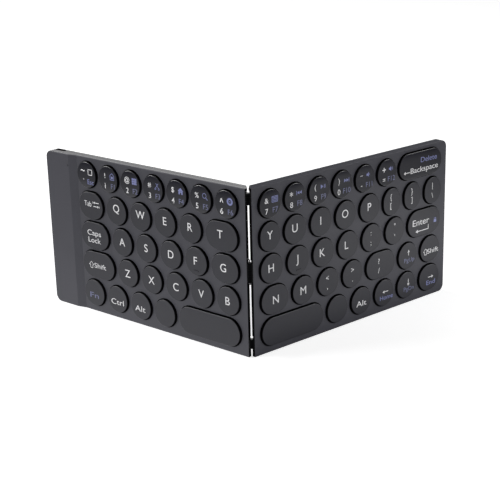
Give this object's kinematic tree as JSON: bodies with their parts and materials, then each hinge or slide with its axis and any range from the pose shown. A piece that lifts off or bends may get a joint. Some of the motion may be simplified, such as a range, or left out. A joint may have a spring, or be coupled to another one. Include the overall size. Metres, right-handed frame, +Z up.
{
  "type": "folding keyboard",
  "caption": "Slim folding keyboard in two hinged halves with round keys and a raised control bar, standing on its front edges.",
  "frame": {"origin": "middle of the footprint at the surface that the keyboard stands on, on its front long edges", "axes": "+Z up along the upright hinge axis, +X along the width from the left half to the right one, +Y from the hinge towards the outer ends, so the keys face -Y"},
  "size_m": [0.2304, 0.106, 0.092],
  "materials": {
    "back": "fine matt moulded ABS",
    "deck": "fine matt moulded ABS",
    "hinge_steel": "black coated steel",
    "pin_steel": "ground steel pin",
    "cable": "black insulation",
    "plate_steel": "rolled steel sheet",
    "dome_rubber": "milky silicone on film",
    "frame_plastic": "natural acetal",
    "battery": "silver pouch film",
    "circuit_board": "green solder mask",
    "socket_steel": "nickel plated steel",
    "lens": "clear light guide",
    "magnet": "nickel plated magnet",
    "screw_steel": "dark zinc plated steel",
    "foot_rubber": "soft black rubber",
    "keys": "fine matt moulded ABS",
    "number_keys": "fine matt moulded ABS, darker"
  },
  "bodies": {
    "left_half": {"left_base_cover": "back", "left_top_cover": "deck", "left_hinge_leaf": "hinge_steel", "hinge_pins": "pin_steel", "left_link_cable": "cable", "left_support_plate": "plate_steel", "left_dome_sheet": "dome_rubber", "left_key_frame": "frame_plastic", "battery": "battery", "main_board": "circuit_board", "usb_socket": "socket_steel", "status_lens": "lens", "left_magnets": "magnet", "left_screws": "screw_steel", "left_feet": "foot_rubber"},
    "right_half": {"right_base_cover": "back", "right_top_cover": "deck", "right_hinge_leaf": "hinge_steel", "right_link_cable": "cable", "right_support_plate": "plate_steel", "right_dome_sheet": "dome_rubber", "right_key_frame": "frame_plastic", "right_magnets": "magnet", "right_screws": "screw_steel", "right_feet": "foot_rubber"},
    "key_q": {"key_q": "keys"},
    "key_w": {"key_w": "keys"},
    "key_e": {"key_e": "keys"},
    "key_r": {"key_r": "keys"},
    "key_t": {"key_t": "keys"},
    "key_a": {"key_a": "keys"},
    "key_s": {"key_s": "keys"},
    "key_d": {"key_d": "keys"},
    "key_f": {"key_f": "keys"},
    "key_g": {"key_g": "keys"},
    "key_z": {"key_z": "keys"},
    "key_x": {"key_x": "keys"},
    "key_c": {"key_c": "keys"},
    "key_v": {"key_v": "keys"},
    "key_b": {"key_b": "keys"},
    "key_space_left": {"key_space_left": "keys"},
    "keys_number_left": {"keys_number_left": "number_keys"},
    "keys_control_left": {"keys_control_left": "keys"},
    "key_y": {"key_y": "keys"},
    "key_u": {"key_u": "keys"},
    "key_i": {"key_i": "keys"},
    "key_o": {"key_o": "keys"},
    "key_p": {"key_p": "keys"},
    "key_h": {"key_h": "keys"},
    "key_j": {"key_j": "keys"},
    "key_k": {"key_k": "keys"},
    "key_l": {"key_l": "keys"},
    "key_n": {"key_n": "keys"},
    "key_m": {"key_m": "keys"},
    "key_space_right": {"key_space_right": "keys"},
    "key_enter": {"key_enter": "keys"},
    "key_backspace": {"key_backspace": "number_keys"},
    "keys_number_right": {"keys_number_right": "number_keys"},
    "keys_control_right": {"keys_control_right": "keys"},
    "keys_punctuation": {"keys_punctuation": "keys"}
  },
  "joints": [
    {"name": "fold", "type": "hinge", "parent": "left_half", "child": "right_half", "pos_m": [0.00046, -0.05151, 0.046], "axis": [0, 0, -1], "range_deg": [-5, 261]},
    {"name": "press_q", "type": "slide", "parent": "left_half", "child": "key_q", "axis": [0.6494, 0.7604, 0], "range_m": [0, 0.0012], "stiffness_N_per_m": 150},
    {"name": "press_w", "type": "slide", "parent": "left_half", "child": "key_w", "axis": [0.6494, 0.7604, 0], "range_m": [0, 0.0012], "stiffness_N_per_m": 150},
    {"name": "press_e", "type": "slide", "parent": "left_half", "child": "key_e", "axis": [0.6494, 0.7604, 0], "range_m": [0, 0.0012], "stiffness_N_per_m": 150},
    {"name": "press_r", "type": "slide", "parent": "left_half", "child": "key_r", "axis": [0.6494, 0.7604, 0], "range_m": [0, 0.0012], "stiffness_N_per_m": 150},
    {"name": "press_t", "type": "slide", "parent": "left_half", "child": "key_t", "axis": [0.6494, 0.7604, 0], "range_m": [0, 0.0012], "stiffness_N_per_m": 150},
    {"name": "press_a", "type": "slide", "parent": "left_half", "child": "key_a", "axis": [0.6494, 0.7604, 0], "range_m": [0, 0.0012], "stiffness_N_per_m": 150},
    {"name": "press_s", "type": "slide", "parent": "left_half", "child": "key_s", "axis": [0.6494, 0.7604, 0], "range_m": [0, 0.0012], "stiffness_N_per_m": 150},
    {"name": "press_d", "type": "slide", "parent": "left_half", "child": "key_d", "axis": [0.6494, 0.7604, 0], "range_m": [0, 0.0012], "stiffness_N_per_m": 150},
    {"name": "press_f", "type": "slide", "parent": "left_half", "child": "key_f", "axis": [0.6494, 0.7604, 0], "range_m": [0, 0.0012], "stiffness_N_per_m": 150},
    {"name": "press_g", "type": "slide", "parent": "left_half", "child": "key_g", "axis": [0.6494, 0.7604, 0], "range_m": [0, 0.0012], "stiffness_N_per_m": 150},
    {"name": "press_z", "type": "slide", "parent": "left_half", "child": "key_z", "axis": [0.6494, 0.7604, 0], "range_m": [0, 0.0012], "stiffness_N_per_m": 150},
    {"name": "press_x", "type": "slide", "parent": "left_half", "child": "key_x", "axis": [0.6494, 0.7604, 0], "range_m": [0, 0.0012], "stiffness_N_per_m": 150},
    {"name": "press_c", "type": "slide", "parent": "left_half", "child": "key_c", "axis": [0.6494, 0.7604, 0], "range_m": [0, 0.0012], "stiffness_N_per_m": 150},
    {"name": "press_v", "type": "slide", "parent": "left_half", "child": "key_v", "axis": [0.6494, 0.7604, 0], "range_m": [0, 0.0012], "stiffness_N_per_m": 150},
    {"name": "press_b", "type": "slide", "parent": "left_half", "child": "key_b", "axis": [0.6494, 0.7604, 0], "range_m": [0, 0.0012], "stiffness_N_per_m": 150},
    {"name": "press_space_left", "type": "slide", "parent": "left_half", "child": "key_space_left", "axis": [0.6494, 0.7604, 0], "range_m": [0, 0.0012], "stiffness_N_per_m": 150},
    {"name": "press_number_left", "type": "slide", "parent": "left_half", "child": "keys_number_left", "axis": [0.6494, 0.7604, 0], "range_m": [0, 0.0012], "stiffness_N_per_m": 400},
    {"name": "press_control_left", "type": "slide", "parent": "left_half", "child": "keys_control_left", "axis": [0.6494, 0.7604, 0], "range_m": [0, 0.0012], "stiffness_N_per_m": 400},
    {"name": "press_y", "type": "slide", "parent": "right_half", "child": "key_y", "axis": [-0.6494, 0.7604, 0], "range_m": [0, 0.0012], "stiffness_N_per_m": 150},
    {"name": "press_u", "type": "slide", "parent": "right_half", "child": "key_u", "axis": [-0.6494, 0.7604, 0], "range_m": [0, 0.0012], "stiffness_N_per_m": 150},
    {"name": "press_i", "type": "slide", "parent": "right_half", "child": "key_i", "axis": [-0.6494, 0.7604, 0], "range_m": [0, 0.0012], "stiffness_N_per_m": 150},
    {"name": "press_o", "type": "slide", "parent": "right_half", "child": "key_o", "axis": [-0.6494, 0.7604, 0], "range_m": [0, 0.0012], "stiffness_N_per_m": 150},
    {"name": "press_p", "type": "slide", "parent": "right_half", "child": "key_p", "axis": [-0.6494, 0.7604, 0], "range_m": [0, 0.0012], "stiffness_N_per_m": 150},
    {"name": "press_h", "type": "slide", "parent": "right_half", "child": "key_h", "axis": [-0.6494, 0.7604, 0], "range_m": [0, 0.0012], "stiffness_N_per_m": 150},
    {"name": "press_j", "type": "slide", "parent": "right_half", "child": "key_j", "axis": [-0.6494, 0.7604, 0], "range_m": [0, 0.0012], "stiffness_N_per_m": 150},
    {"name": "press_k", "type": "slide", "parent": "right_half", "child": "key_k", "axis": [-0.6494, 0.7604, 0], "range_m": [0, 0.0012], "stiffness_N_per_m": 150},
    {"name": "press_l", "type": "slide", "parent": "right_half", "child": "key_l", "axis": [-0.6494, 0.7604, 0], "range_m": [0, 0.0012], "stiffness_N_per_m": 150},
    {"name": "press_n", "type": "slide", "parent": "right_half", "child": "key_n", "axis": [-0.6494, 0.7604, 0], "range_m": [0, 0.0012], "stiffness_N_per_m": 150},
    {"name": "press_m", "type": "slide", "parent": "right_half", "child": "key_m", "axis": [-0.6494, 0.7604, 0], "range_m": [0, 0.0012], "stiffness_N_per_m": 150},
    {"name": "press_space_right", "type": "slide", "parent": "right_half", "child": "key_space_right", "axis": [-0.6494, 0.7604, 0], "range_m": [0, 0.0012], "stiffness_N_per_m": 150},
    {"name": "press_enter", "type": "slide", "parent": "right_half", "child": "key_enter", "axis": [-0.6494, 0.7604, 0], "range_m": [0, 0.0012], "stiffness_N_per_m": 150},
    {"name": "press_backspace", "type": "slide", "parent": "right_half", "child": "key_backspace", "axis": [-0.6494, 0.7604, 0], "range_m": [0, 0.0012], "stiffness_N_per_m": 150},
    {"name": "press_number_right", "type": "slide", "parent": "right_half", "child": "keys_number_right", "axis": [-0.6494, 0.7604, 0], "range_m": [0, 0.0012], "stiffness_N_per_m": 400},
    {"name": "press_control_right", "type": "slide", "parent": "right_half", "child": "keys_control_right", "axis": [-0.6494, 0.7604, 0], "range_m": [0, 0.0012], "stiffness_N_per_m": 400},
    {"name": "press_punctuation", "type": "slide", "parent": "right_half", "child": "keys_punctuation", "axis": [-0.6494, 0.7604, 0], "range_m": [0, 0.0012], "stiffness_N_per_m": 400}
  ]
}
